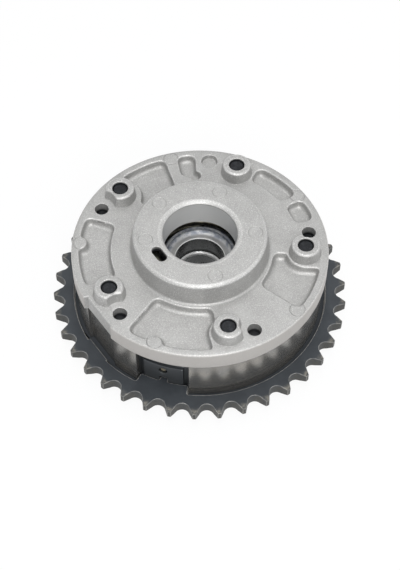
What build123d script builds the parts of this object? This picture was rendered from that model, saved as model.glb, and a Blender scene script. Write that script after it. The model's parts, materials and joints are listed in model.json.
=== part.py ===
# Cam phaser: a toothed outer drum turned by the timing chain, with a vane rotor inside that
# oil pressure swings against it. Millimetres. The axis is Z, the cover is up, and z = 0 is
# the sprocket's rear hub face. Angles are in degrees, anticlockwise from +X seen from above,
# and the first bolt is on +X.
import os
from math import acos, cos, degrees, pi, radians, sin

from build123d import *

# Heights of the stack, from the rear face forwards
rear_hub_height = 4.9
web_thickness = 3.0
seat_depth = 2.0
housing_height = 20.9
plate_thickness = 8.2
hub_height = 10.0
boss_height = 5.0

web_z = rear_hub_height
seat_z = web_z + web_thickness
face_z = seat_z + seat_depth
joint_z = seat_z + housing_height
plate_z = joint_z + plate_thickness
hub_z = plate_z + hub_height
boss_z = plate_z + boss_height

# Drum
chambers = 5
housing_r = 49.6
cover_overhang = 1.1
chamber_wall = 6.1
lobe_half_angle = 12.0
lobe_tip_round = 1.0
chamber_corner = 0.8
bolt_inset = 2.1
bolt_r = 3.0
bolt_hole_r = 3.3
thread_play = 0.02
cover_r = housing_r + cover_overhang
chamber_r = housing_r - chamber_wall
bolt_circle_r = chamber_r - bolt_inset

# Toothed wheel
tooth_count = 38
chain_pitch = 9.525
roller_seat_r = 3.0
tooth_depth = 4.4
tip_rise = 2.08
tooth_flank_angle = 60.0
tip_chamfer = 0.65
tip_chamfer_length = 2.5
first_tip_angle = 166.89
seat_play = 1.75
seat_corner = 0.7
rear_hub_r = 22.0
rear_hub_edge = 0.6
bearing_r = 17.0
seat_r = housing_r + seat_play

# Flat on the side of the drum, cut to its own depth in the cover, the housing and the recess
flat_angle = -141.4
flat_start_angle, flat_stop_angle = -148.6, -129.4
cover_flat_depth = 1.8
housing_flat_depth = 1.7
seat_flat_depth = 1.15

# Window in the housing wall, with a drilled pad in it that the sprocket's tab locates
window_start_angle, window_stop_angle = -116.4, -91.9
window_wall = 2.1
pad_start_angle, pad_stop_angle = -114.6, -94.6
pad_rise = 1.4
pad_height = 12.6
tab_start_angle, tab_stop_angle = -106.4, -102.5
tab_length = 1.8
tab_notch_height = 4.9
tab_play = 0.2
land_play = 0.5
drilling_r = 1.7
drilling_angle = -104.6
drilling_height = 9.1
window_floor_r = chamber_r + window_wall
pad_r = window_floor_r + pad_rise
tab_r = pad_r - tab_length
plug_r = pad_r - drilling_r

# Rotor
rotor_r = 27.0
rotor_play = 0.03
tip_gap = 0.25
travel_angle = 30.0
stop_play_angle = 0.1
vane_half_angle = 8.0
vane_root = 0.8
vane_tip_round = 1.2
nose_r = 14.5
nose_rim = 1.0
nose_drop = 5.3
dish_drop = 7.2
socket_r = 9.9
socket_drop = 15.6
step_r = 8.9
bolt_bore_r = 8.4
bolt_bore_chamfer = 1.1
cam_bore_r = 14.0
rear_setback = 0.3
journal_grip = 2.4
journal_lip = 1.7
seat_relief = 0.4
dowel_r = 2.0
dowel_depth = 6.0
dowel_angle = 57.0
gallery_r = 1.2
gallery_lead_angle = 3.2
gallery_heights = (5.0, 9.6)
journal_r = bearing_r - rotor_play
lip_r = journal_r - journal_lip
dish_r = nose_r - nose_rim
dowel_circle_r = (bolt_bore_r + cam_bore_r) / 2

# Seals, each a bar on a bowed leaf spring in a groove
seal_width = 2.0
seal_height = 2.4
seal_play = 0.03
seal_end_play = 0.01
groove_depth = 3.1
leaf_thickness = 0.25
leaf_bow = 0.3
leaf_play = 0.15
leaf_end_play = 1.4

# Lock pin in the wide vane, its spring and cap, and its bush in the web
lock_vane_index = 1
pin_r = 3.5
pin_nose_r = 2.75
pin_play = 0.03
pin_floor = 3.0
pin_engagement = 3.0
pin_lift = 1.5
pin_top_gap = 0.9
pin_hollow_r = 2.3
pin_crown = 1.5
pin_rest_gap = 0.05
cap_thickness = 2.0
cap_end_play = 0.05
cap_vent_r = 0.8
bush_play = 0.2
bush_wall = 1.65
lock_wire_r = 0.3
lock_spring_play = 0.15
lock_turns = 5
pin_circle_r = (rotor_r + chamber_r - groove_depth) / 2
bush_bore_r = pin_nose_r + bush_play
lock_coil_r = pin_hollow_r - lock_spring_play - lock_wire_r

# Cover
hub_base_r = 27.2
hub_draft = 0.9
hub_edge = 1.6
hub_root = 1.0
bore_r = 14.5
mouth_round = 2.0
sleeve_wall = 2.0
sleeve_drop = 2.1
end_wall = 2.6
rim_round = 0.6
boss_base_r = 6.35
boss_draft = 0.65
boss_edge = 0.8
boss_mouth = 0.6
small_hole_r = 2.75
small_hole_outset = 2.5
small_hole_lead_angle = 13.2
small_hole_depth = 5.0
boss_notch_r = 6.0
spot_bolt_index = 1
spot_r = 3.0
spot_outset = 3.1
spot_lead_angle = 15.8
spot_depth = 1.5
slot_length, slot_width = 7.6, 4.0
slot_angle = -142.7
sleeve_r = bore_r + sleeve_wall
small_hole_circle_r = bolt_circle_r + small_hole_outset
spot_circle_r = bolt_circle_r + spot_outset

# Bias spring round the cover's sleeve, in a groove of the rotor and a cavity of the cover
bias_wire_r = 1.5
bias_turns = 4.75
bias_play = 0.9
bias_end_gap = 0.12
bias_top_angle = 7.3
bend_swell = 0.02
groove_gap = 2.2
cavity_gap = 3.1
spring_groove_depth = 4.0
leg_grip = 1.1
leg_play = 0.15
leg_notch_depth = 0.3
bias_coil_r = sleeve_r + bias_play + bias_wire_r
spring_groove_r = bias_coil_r + bias_wire_r + groove_gap
cavity_r = bias_coil_r + bias_wire_r + cavity_gap
leg_end_r = cavity_r + leg_grip
bias_foot_angle = bias_top_angle - bias_turns * 360

# Cast recesses in the cover's face, each between two angles measured from a bolt
pocket_depth = 1.6
pocket_corner = 2.6
web_corner = 1.2
hub_web = 1.9
rim_web = 3.1
boss_web = 1.0
boss_wide_web = 2.25
mark_r = 3.0
wide_pocket_angles = (-32.8, -5.1)
boot_pocket_angles = (23.7, 32.7)
long_pocket_angles = (-33.6, -9.6)
short_pocket_angles = (20.9, 33.9)
first_spur_pocket_angles = (-34.1, -1.6)
last_spur_pocket_angles = (-50.0, -5.6)
mark_pocket_angles = (-51.1, -9.6)
shallow_pocket_width = 7.5
boot_pocket_width = 10.6
mark_pocket_width = 12.2
boot_toe_r = 2.2
boot_toe_lead_angle = 0.4
mark_angles = (-108.0, 180.4)
pocket_r = hub_base_r + hub_web
pocket_outer_r = cover_r - rim_web

# Bolts
flange_r = 5.6
flange_thickness = 1.2
head_across_flats = 8.0
head_height = 4.3
bolt_end_drop = 1.0
bolt_chamfer = 0.5


# Modelling tolerances
eps = 0.01
touching = 1e-5
straight = 0.05
corner_share = 0.9


def at(radius, angle, z=None):
    """The point at a radius and an angle about the axis, flat or at a height."""
    x, y = radius * cos(radians(angle)), radius * sin(radians(angle))
    return (x, y) if z is None else (x, y, z)


def disc(radius, low, high, centre=(0, 0)):
    """A cylinder along Z between two heights."""
    up = Cylinder(radius, high - low, align=(Align.CENTER, Align.CENTER, Align.MIN))
    return Pos(centre[0], centre[1], low) * up


def slab(face, low, high):
    """A flat face raised between two heights."""
    return Pos(0, 0, low) * extrude(face, high - low)


def sector(inner, outer, start, stop):
    """A flat piece of a ring between two radii and two angles."""
    middle = (start + stop) / 2
    edges = [
        Line(at(inner, start), at(outer, start)),
        ThreePointArc(at(outer, start), at(outer, middle), at(outer, stop)),
        Line(at(outer, stop), at(inner, stop)),
        ThreePointArc(at(inner, stop), at(inner, middle), at(inner, start)),
    ]
    return make_face(edges)


def bar(inner, outer, width, angle):
    """A flat rectangle that lies along a radius."""
    length = outer - inner
    flat = Rectangle(length, width, align=(Align.MIN, Align.CENTER))
    return Rot(0, 0, angle) * Pos(inner, 0) * flat


def rod(radius, inner, outer, angle, z):
    """A cylinder that lies along a radius of the drum."""
    lying = Cylinder(radius, outer - inner, align=(Align.CENTER, Align.CENTER, Align.MIN))
    return Rot(0, 0, angle) * Pos(inner, 0, z) * Rot(0, 90, 0) * lying


def rounded(face, radius, wanted=lambda vertex: True):
    """A flat face with its corners rounded, by less where its sides leave less room.

    Where two edges run on smoothly there is no corner, and nothing is done.
    """
    corners, room = [], radius
    spent = [0.0] * len(face.edges())
    for vertex in filter(wanted, face.vertices()):
        ways, beside = [], []
        for i, edge in enumerate(face.edges()):
            for end, sense in ((0, 1), (1, -1)):
                if (edge @ end - Vector(vertex)).length < touching:
                    ways.append((edge % end) * sense)
                    beside.append(i)
        half = radians(ways[0].get_angle(ways[1])) / 2
        if cos(half) > straight:
            corners.append(vertex)
            for i in beside:
                spent[i] += cos(half) / sin(half)
    for edge, reach in zip(face.edges(), spent):
        if reach:
            room = min(room, corner_share * edge.length / reach)
    return fillet(corners, room) if corners else face


def turned(points):
    """A body of revolution; a point's third number rounds its corner."""
    edges, ends, count = [], [], len(points)
    for i, point in enumerate(points):
        here = Vector(point[0], point[1])
        before = Vector(*points[i - 1][:2])
        after = Vector(*points[(i + 1) % count][:2])
        radius = point[2] if len(point) > 2 else 0
        back, on = (before - here).normalized(), (after - here).normalized()
        if radius:
            half = radians(back.get_angle(on)) / 2
            reach = radius * cos(half) / sin(half)
            middle = here + (back + on).normalized() * (radius / sin(half) - radius)
            ends.append((here + back * reach, middle, here + on * reach))
        else:
            ends.append((here, None, here))
    for i, (start, middle, stop) in enumerate(ends):
        if middle is not None:
            edges.append(ThreePointArc(start, middle, stop))
        edges.append(Line(stop, ends[(i + 1) % count][0]))
    return revolve(Plane.XZ * make_face(edges), Axis.Z)


def bolt_angles():
    """The angles of the bolts, which are also the middles of the lobes."""
    return [i * 360 / chambers for i in range(chambers)]


def vane_angles():
    """The middles of the vanes at rest, where the wide one is at its stop."""
    lead = 360 / chambers / 2 - travel_angle / 2
    return [angle + lead for angle in bolt_angles()]


def lock_vane_half():
    """Half the angle of the wide vane, which fills its chamber less the travel."""
    return 360 / chambers / 2 - lobe_half_angle - travel_angle / 2 - stop_play_angle


def beyond_flat(radius, depth):
    """All that lies beyond the flat of a round piece."""
    return bar(radius - depth, radius + depth, 2 * radius, flat_angle)


def flat_cut(radius, depth, low, high):
    """What the flat takes off a round piece; a step is left at each end of it."""
    ends = sector(radius / 2, radius + depth, flat_start_angle, flat_stop_angle)
    return slab(beyond_flat(radius, depth) & ends, low, high)


def off_bosses(vertex):
    """Whether a recess's corner stays when the webs round the bosses are left."""
    reach = boss_base_r + boss_wide_web
    bosses = [Vector(*at(bolt_circle_r, angle)) for angle in bolt_angles()]
    return all((Vector(vertex) - boss).length > reach for boss in bosses)


def pockets():
    """The cast recesses in the cover's face, which leave webs beside the bosses."""
    bolt = bolt_angles()
    boot_r = pocket_outer_r - boot_pocket_width
    shallow_r = pocket_outer_r - shallow_pocket_width
    marked_r = pocket_outer_r - mark_pocket_width

    def recess(inner, angle, span, *wanted):
        plain = sector(inner, pocket_outer_r, angle + span[0], angle + span[1])
        return rounded(plain, pocket_corner, *wanted)

    def boss(angle, web):
        return Pos(*at(bolt_circle_r, angle)) * Circle(boss_base_r + web)

    def spur(angle, web):
        width = 2 * (boss_base_r + web)
        return bar(bolt_circle_r, cover_r, width, angle) + boss(angle, web)

    def mark(angle):
        return Pos(*at(pocket_outer_r, angle)) * Circle(mark_r)

    toe = at(boot_r, bolt[1] + boot_pocket_angles[0] + boot_toe_lead_angle)
    wide = recess(pocket_r, bolt[2], wide_pocket_angles, off_bosses)
    first_spur = recess(pocket_r, bolt[0], first_spur_pocket_angles, off_bosses)
    last_spur = recess(pocket_r, bolt[-1], last_spur_pocket_angles, off_bosses)
    marked = recess(marked_r, bolt[-2], mark_pocket_angles, off_bosses)
    return [
        wide - boss(bolt[2], boss_wide_web),
        recess(boot_r, bolt[1], boot_pocket_angles) + Pos(*toe) * Circle(boot_toe_r),
        recess(shallow_r, bolt[1], long_pocket_angles),
        recess(shallow_r, bolt[0], short_pocket_angles),
        first_spur - spur(bolt[0], boss_web),
        last_spur - spur(bolt[-1], boss_web) - mark(mark_angles[0]),
        marked - boss(bolt[-2], boss_web) - mark(mark_angles[1]),
    ]


def front_cover():
    """The die-cast cover: plate, hollow hub and sleeve in one turned section."""
    roof_z = hub_z - end_wall
    body = turned(
        [
            (bore_r, plate_z - sleeve_drop),
            (sleeve_r, plate_z - sleeve_drop),
            (sleeve_r, roof_z),
            (cavity_r, roof_z),
            (cavity_r, joint_z),
            (cover_r, joint_z),
            (cover_r, plate_z, rim_round),
            (hub_base_r, plate_z, hub_root),
            (hub_base_r - hub_draft, hub_z, hub_edge),
            (bore_r, hub_z, mouth_round),
        ]
    )
    boss = turned(
        [
            (0, plate_z - pocket_depth),
            (boss_base_r, plate_z - pocket_depth),
            (boss_base_r, plate_z),
            (boss_base_r - boss_draft, boss_z, boss_edge),
            (0, boss_z),
        ]
    )
    thread = disc(bolt_r + thread_play, joint_z, boss_z)
    mouth = Pos(0, 0, boss_z - boss_mouth / 2) * Cone(
        bolt_r + thread_play, bolt_r + thread_play + boss_mouth, boss_mouth
    )
    for pocket in pockets():
        body -= slab(rounded(pocket, web_corner), plate_z - pocket_depth, plate_z)
    for angle in bolt_angles():
        body += Pos(*at(bolt_circle_r, angle)) * boss
    for i, angle in enumerate(bolt_angles()):
        body -= Pos(*at(bolt_circle_r, angle)) * (thread + mouth)
        if i == spot_bolt_index:
            spot = at(spot_circle_r, angle + spot_lead_angle)
            body -= disc(spot_r, plate_z - spot_depth, plate_z, spot)
        else:
            hole = at(small_hole_circle_r, angle + small_hole_lead_angle)
            body -= disc(small_hole_r, plate_z - small_hole_depth, plate_z, hole)
            body -= disc(boss_notch_r, plate_z, boss_z, hole)
    slot = Rot(0, 0, slot_angle) * Pos(bias_coil_r, 0) * Rot(0, 0, 90)
    body -= slab(slot * SlotOverall(slot_length, slot_width), roof_z, hub_z)
    body -= slab(leg_notch(cavity_r, bias_top_angle), joint_z, roof_z)
    return body - flat_cut(cover_r, cover_flat_depth, joint_z, plate_z)


def leg_notch(wall_r, angle):
    """The flat shape of a notch in a round wall that holds a leg of the bias spring."""
    width = 2 * (bias_wire_r + leg_play)
    return bar(wall_r - bias_wire_r, leg_end_r + leg_notch_depth, width, angle)


def stator_housing():
    """The housing ring with its five lobes, the window and the drilled pad."""
    cavity = Circle(chamber_r)
    tip_r = rotor_r + tip_gap
    middle_r = (tip_r + chamber_r) / 2
    for angle in bolt_angles():
        cavity -= sector(tip_r, housing_r, angle - lobe_half_angle, angle + lobe_half_angle)
    cavity = rounded(cavity, chamber_corner, lambda v: Vector(v).length > middle_r)
    cavity = rounded(cavity, lobe_tip_round, lambda v: Vector(v).length < tip_r + eps)
    ring = Circle(housing_r) - cavity
    for angle in bolt_angles():
        ring -= Pos(*at(bolt_circle_r, angle)) * Circle(bolt_hole_r)
        ring -= bar(rotor_r, rotor_r + groove_depth, seal_width, angle)
    body = slab(ring, seat_z, joint_z)
    window = sector(window_floor_r, cover_r, window_start_angle, window_stop_angle)
    body -= slab(window, seat_z, joint_z)
    pad = sector(window_floor_r - window_wall / 2, pad_r, pad_start_angle, pad_stop_angle)
    body += slab(pad, seat_z, seat_z + pad_height)
    notch = sector(tab_r - tab_play, cover_r, tab_start_angle - tab_play, tab_stop_angle + tab_play)
    body -= slab(notch, seat_z, seat_z + tab_notch_height)
    z = seat_z + drilling_height
    body -= rod(drilling_r, chamber_r - window_wall, cover_r, drilling_angle, z)
    return body - flat_cut(housing_r, housing_flat_depth, seat_z, joint_z)


def drilling_plug():
    """The ball that closes the drilling."""
    return Pos(*at(plug_r, drilling_angle, seat_z + drilling_height)) * Sphere(drilling_r)


def tooth_outline():
    """The toothed edge: round seats for the chain's rollers between pointed teeth."""
    step = 360 / tooth_count
    tip_r = pitch_r() + tip_rise
    seat_centre_r = tip_r - tooth_depth + roller_seat_r
    swing = radians(tooth_flank_angle)
    flank_x = roller_seat_r * sin(swing)
    flank_y = seat_centre_r - roller_seat_r * cos(swing)
    slope = cos(swing) / sin(swing)
    land_x = flank_x + (tip_r - flank_y) * slope
    land = degrees(land_x / tip_r)
    reach = degrees(acos(flank_y / (flank_x**2 + flank_y**2) ** 0.5))
    flank_r = (flank_x**2 + flank_y**2) ** 0.5
    edges = []
    for i in range(tooth_count):
        gap = first_tip_angle + (i + 0.5) * step
        a, b = at(tip_r, gap - land), at(flank_r, gap - reach)
        c, d = at(flank_r, gap + reach), at(tip_r, gap + land)
        crest = at(tip_r, gap + step / 2)
        edges.append(Line(a, b))
        edges.append(ThreePointArc(b, at(tip_r - tooth_depth, gap), c))
        edges.append(Line(c, d))
        edges.append(ThreePointArc(d, crest, at(tip_r, gap + step - land)))
    return make_face(edges)


def pitch_r():
    """The radius at which the chain's pins ride."""
    return chain_pitch / 2 / sin(pi / tooth_count)


def sprocket():
    """The toothed wheel, whose recess takes the housing and whose web closes its rear."""
    tip_r = pitch_r() + tip_rise
    shoulder_r = tip_r - tip_chamfer_length
    blank = turned(
        [
            (bearing_r, 0),
            (rear_hub_r, 0, rear_hub_edge),
            (rear_hub_r, web_z),
            (shoulder_r, web_z),
            (tip_r, web_z + tip_chamfer),
            (tip_r, face_z - tip_chamfer),
            (shoulder_r, face_z),
            (bearing_r, face_z),
        ]
    )
    rim = slab(tooth_outline(), web_z, face_z)
    body = blank & (rim + disc(shoulder_r, 0, web_z))
    start, stop = window_start_angle + land_play, window_stop_angle - land_play
    land = sector(pad_r + tab_play, tip_r, start, stop)
    tab = sector(tab_r, housing_r, tab_start_angle, tab_stop_angle)
    seat = Circle(seat_r) - land - tab - beyond_flat(seat_r, seat_flat_depth)
    body -= slab(rounded(seat, seat_corner), seat_z, face_z)
    for angle in bolt_angles():
        body -= disc(bolt_hole_r, web_z, seat_z, at(bolt_circle_r, angle))
    return body - disc(bush_bore_r + bush_wall, web_z, seat_z, pin_point())


def pin_point():
    """Where the lock pin's axis is, in the wide vane."""
    return at(pin_circle_r, vane_angles()[lock_vane_index])


def rotor():
    """The vane rotor, with the camshaft's face behind and the bolt's seat in front."""
    low, high = seat_z + rotor_play, joint_z - rotor_play
    outline = Circle(rotor_r)
    tip_r = chamber_r - tip_gap
    for i, angle in enumerate(vane_angles()):
        half = lock_vane_half() if i == lock_vane_index else vane_half_angle
        outline += sector(cam_bore_r, tip_r, angle - half, angle + half)
    outline = rounded(outline, vane_root, lambda v: Vector(v).length < rotor_r + eps)
    outline = rounded(outline, vane_tip_round, lambda v: Vector(v).length > tip_r - eps)
    for angle in vane_angles():
        outline -= bar(chamber_r - groove_depth, housing_r, seal_width, angle)
    body = slab(outline, low, high)
    floor_z = high - spring_groove_depth
    body -= disc(spring_groove_r, floor_z, high) - disc(nose_r, floor_z, high)
    body += disc(nose_r, floor_z, plate_z - nose_drop)
    body -= slab(Circle(journal_r) - Circle(lip_r), low, low + journal_grip)
    body -= slab(Circle(lip_r) - Circle(cam_bore_r - seat_relief), low, low + seat_relief)
    body -= bolt_passage()
    body -= slab(leg_notch(spring_groove_r, bias_foot_angle), floor_z, high)
    dowel = at(dowel_circle_r, dowel_angle)
    body -= disc(dowel_r, low, low + dowel_depth, dowel)
    body -= disc(pin_nose_r + pin_play, low, low + pin_floor, pin_point())
    body -= disc(pin_r + pin_play, low + pin_floor, high, pin_point())
    return body - galleries(low)


def bolt_passage():
    """The stepped bore: bolt bore, socket and dished seat."""
    step_z = plate_z - socket_drop
    passage = turned(
        [
            (0, seat_z),
            (bolt_bore_r, seat_z),
            (bolt_bore_r, step_z - bolt_bore_chamfer),
            (step_r, step_z),
            (socket_r, step_z),
            (socket_r, plate_z - dish_drop),
            (dish_r, plate_z - dish_drop),
            (dish_r, plate_z),
            (0, plate_z),
        ]
    )
    return passage


def journal_ring():
    """The ring on which the toothed wheel runs, and which the camshaft's nose goes into.

    A thinner lip at its front is pressed into a groove in the rotor's rear face.
    """
    low = seat_z + rotor_play
    ring = slab(Circle(journal_r) - Circle(cam_bore_r), rear_setback, low)
    return ring + slab(Circle(journal_r) - Circle(lip_r), low, low + journal_grip)


def galleries(low):
    """The oil drillings from the bolt bore to both sides of every vane."""
    drillings = []
    for i, vane in enumerate(vane_angles()):
        half = lock_vane_half() if i == lock_vane_index else vane_half_angle
        for side, height in zip((-1, 1), gallery_heights):
            angle = vane + side * (half + gallery_lead_angle)
            start, stop = bolt_bore_r - gallery_r, rotor_r + gallery_r
            drillings.append(rod(gallery_r, start, stop, angle, low + height))
    return Compound(drillings)


def seal(tip_r, inward, angle, low, high):
    """A seal bar whose outer or inner face runs on a round wall."""
    width = seal_width - 2 * seal_play
    if inward:
        strip = bar(tip_r / 2, tip_r + seal_height, width, angle)
        return slab(strip - Circle(tip_r), low, high)
    strip = bar(tip_r - seal_height, tip_r + seal_height, width, angle)
    return slab(strip & Circle(tip_r), low, high)


def leaf(base_r, rise, angle, low, high):
    """A bowed strip: its ends stand on the groove's floor and its middle lifts the seal."""
    half = (high - low) / 2 - leaf_end_play
    bow, back_r = rise * leaf_bow, base_r + rise * leaf_thickness
    edges = [
        ThreePointArc((base_r, -half), (base_r + bow, 0), (base_r, half)),
        Line((base_r, half), (back_r, half)),
        ThreePointArc((back_r, half), (back_r + bow, 0), (back_r, -half)),
        Line((back_r, -half), (base_r, -half)),
    ]
    width = seal_width - 2 * leaf_play
    strip = extrude(Plane.XZ * make_face(edges), width / 2, both=True)
    return Rot(0, 0, angle) * Pos(0, 0, (low + high) / 2) * strip


def cap_z():
    """The underside of the lock pin's cap."""
    return joint_z - rotor_play - cap_end_play - cap_thickness


def shoulder_z():
    """The lock pin's shoulder, lifted so that its nose is level with the rotor's rear."""
    return seat_z + rotor_play + pin_floor + pin_engagement


def lock_pin():
    """The hollow stepped pin."""
    foot = seat_z + rotor_play + pin_rest_gap
    top = cap_z() - pin_lift - pin_top_gap
    body = disc(pin_nose_r, foot, shoulder_z()) + disc(pin_r, shoulder_z(), top)
    body -= disc(pin_hollow_r, shoulder_z() + pin_crown, top)
    return Pos(*pin_point()) * body


def lock_cap():
    """The vented disc that closes the pin's bore and holds its spring."""
    ring = Circle(pin_r + pin_play) - Circle(cap_vent_r)
    return Pos(*pin_point()) * slab(ring, cap_z(), cap_z() + cap_thickness)


def coil(wire_r, coil_r, turns, height, sides):
    """A helical spring of polygonal wire whose centre line starts on +X at z = 0."""
    path = Helix(height / turns, height, coil_r)
    section = Plane(origin=path @ 0, z_dir=path % 0) * RegularPolygon(wire_r, sides)
    return sweep(section, path=path, is_frenet=True)


def lock_spring():
    """The coil spring that pushes the pin towards its bush."""
    margin = lock_wire_r + cap_end_play
    floor = shoulder_z() + pin_crown + margin
    wound = coil(lock_wire_r, lock_coil_r, lock_turns, cap_z() - margin - floor, 6)
    return Pos(*pin_point(), floor) * wound


def lock_bush():
    """The hard bush in the web that takes the pin's nose at the parked angle."""
    ring = Circle(bush_bore_r + bush_wall) - Circle(bush_bore_r)
    return Pos(*pin_point()) * slab(ring, web_z, seat_z)


def bias_spring():
    """The torsion spring, with a radial leg at each end."""
    margin = bias_wire_r + bias_end_gap
    foot_z = joint_z - rotor_play - spring_groove_depth + margin
    top_z = hub_z - end_wall - margin
    wound = coil(bias_wire_r, bias_coil_r, bias_turns, top_z - foot_z, 8)
    body = Pos(0, 0, foot_z) * Rot(0, 0, bias_foot_angle) * wound
    inner = bias_coil_r - bias_wire_r
    for angle, z in ((bias_foot_angle, foot_z), (bias_top_angle, top_z)):
        body += rod(bias_wire_r + bend_swell, inner, leg_end_r, angle, z)
    return body


def housing_bolts():
    """The five flanged bolts, put in from the rear and screwed into the cover."""
    flange_z = web_z - flange_thickness
    end_z = boss_z - bolt_end_drop
    hexagon = RegularPolygon(head_across_flats / 2, 6, major_radius=False)
    head = slab(hexagon, web_z - head_height, flange_z) + disc(flange_r, flange_z, web_z)
    shank = turned(
        [
            (0, web_z),
            (bolt_r, web_z),
            (bolt_r, end_z - bolt_chamfer),
            (bolt_r - bolt_chamfer, end_z),
            (0, end_z),
        ]
    )
    bolt = head + shank
    return Compound([Pos(*at(bolt_circle_r, angle)) * bolt for angle in bolt_angles()])


def seal_parts():
    """The seals and leaf springs of the vanes and of the lobes, by name."""
    parts = {}
    low, high = seat_z + rotor_play, joint_z - rotor_play
    foot, top = low + seal_end_play, high - seal_end_play
    vane_tip_r = chamber_r - seal_play
    vane_leaf_r = chamber_r - groove_depth
    lobe_tip_r = rotor_r + seal_play
    lobe_leaf_r = rotor_r + groove_depth
    for i in range(chambers):
        vane, lobe = vane_angles()[i], bolt_angles()[i]
        parts[f"vane_seal_{i + 1}"] = seal(vane_tip_r, False, vane, foot, top)
        parts[f"vane_seal_spring_{i + 1}"] = leaf(vane_leaf_r, 1, vane, foot, top)
        parts[f"lobe_seal_{i + 1}"] = seal(lobe_tip_r, True, lobe, foot, top)
        parts[f"lobe_seal_spring_{i + 1}"] = leaf(lobe_leaf_r, -1, lobe, foot, top)
    return parts


parts = {
    "front_cover": front_cover(),
    "stator_housing": stator_housing(),
    "sprocket": sprocket(),
    "rotor": rotor(),
    "journal_ring": journal_ring(),
    "housing_bolts": housing_bolts(),
    "drilling_plug": drilling_plug(),
    "bias_spring": bias_spring(),
    "lock_pin": lock_pin(),
    "lock_spring": lock_spring(),
    "lock_cap": lock_cap(),
    "lock_bush": lock_bush(),
}
parts.update(seal_parts())

os.makedirs("parts", exist_ok=True)
for name, shape in parts.items():
    export_step(shape, f"parts/{name}.step")
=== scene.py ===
import json
from math import acos, cos, degrees, pi, radians, sin

import bmesh
import bpy
import numpy as np
from mathutils import Matrix, Vector
from mathutils.geometry import delaunay_2d_cdt


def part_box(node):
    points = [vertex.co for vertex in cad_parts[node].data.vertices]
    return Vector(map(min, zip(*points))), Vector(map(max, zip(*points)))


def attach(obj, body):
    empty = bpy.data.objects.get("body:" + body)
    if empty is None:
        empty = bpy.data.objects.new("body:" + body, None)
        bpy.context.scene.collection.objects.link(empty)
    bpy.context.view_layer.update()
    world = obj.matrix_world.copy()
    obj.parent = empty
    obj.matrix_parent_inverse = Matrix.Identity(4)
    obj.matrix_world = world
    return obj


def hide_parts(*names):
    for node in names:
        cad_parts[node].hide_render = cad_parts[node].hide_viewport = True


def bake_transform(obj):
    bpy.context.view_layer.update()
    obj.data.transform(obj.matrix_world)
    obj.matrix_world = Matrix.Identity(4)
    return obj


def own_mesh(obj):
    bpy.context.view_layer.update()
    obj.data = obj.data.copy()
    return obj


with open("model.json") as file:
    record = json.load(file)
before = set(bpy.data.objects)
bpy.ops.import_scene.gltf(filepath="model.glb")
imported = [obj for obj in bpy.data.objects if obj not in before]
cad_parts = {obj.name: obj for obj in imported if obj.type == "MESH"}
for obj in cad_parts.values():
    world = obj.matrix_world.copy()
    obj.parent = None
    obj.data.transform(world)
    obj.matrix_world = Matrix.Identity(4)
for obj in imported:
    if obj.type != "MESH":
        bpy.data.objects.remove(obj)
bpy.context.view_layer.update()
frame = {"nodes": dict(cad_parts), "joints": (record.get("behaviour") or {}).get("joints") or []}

# A cam phaser, piece by piece from the toothed wheel to the cast cover and its bolts.
# Lengths are in millimetres and become metres when a piece is finished. Z is the axis,
# and the first bolt is on +X.
metre = 0.001
nodes = frame["nodes"]


# Toothed wheel. A sintered steel ring, steam treated to a dark slate, that the chain
# drives. A thin bright line is painted on its rounded edges as a highlight, where the
# edge of the recess catches the light; wear has left the tooth flanks brownish, and a
# paler painted highlight lies on the chamfers of the tips.
weld_gap = 0.0005
flat_turn = radians(0.4)
sharp_turn = radians(28)
line_pitch = 0.09
wheel_edge, wheel_fillet = 0.22, 0.30
wheel_face_z = 9.9
tooth_root_r, tooth_tip_r = 55.3, 59.7
rear_hub_r, rear_hub_round = 22.0, 0.6
recess_r, recess_z = 51.3, 7.9
recess_flat_r, recess_flat_angle, recess_flat_angles = 50.2, -141.4, (-147.0, -133.0)
recess_overlap, recess_overlap_turn, recess_steps = 0.5, 0.3, 12


def at(radius, angle, z=0.0):
    """The point at a radius, an angle in degrees and a height."""
    return Vector((radius * cos(radians(angle)), radius * sin(radians(angle)), z))


def welded_copy(node):
    """A copy of a CAD solid in millimetres, with its facets joined."""
    bm = bmesh.new()
    bm.from_mesh(nodes[node].data)
    bmesh.ops.scale(bm, vec=Vector((1, 1, 1)) / metre, verts=bm.verts)
    bmesh.ops.remove_doubles(bm, verts=bm.verts, dist=weld_gap)
    return bm


def solid_copy(node):
    """A copy of a CAD solid in millimetres, with its flat faces made whole."""
    bm = welded_copy(node)
    bmesh.ops.dissolve_limit(
        bm, angle_limit=flat_turn, verts=bm.verts, edges=bm.edges, use_dissolve_boundaries=False
    )
    return bm


def as_object(name, bm):
    """A mesh object from a bmesh, which is freed."""
    mesh = bpy.data.meshes.new(name)
    bm.to_mesh(mesh)
    bm.free()
    piece = bpy.data.objects.new(name, mesh)
    bpy.context.scene.collection.objects.link(piece)
    return piece


def applied(piece):
    """Turns what the modifiers make into the piece's own mesh."""
    graph = bpy.context.evaluated_depsgraph_get()
    made = bpy.data.meshes.new_from_object(piece.evaluated_get(graph))
    piece.modifiers.clear()
    piece.data = made
    return piece


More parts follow.
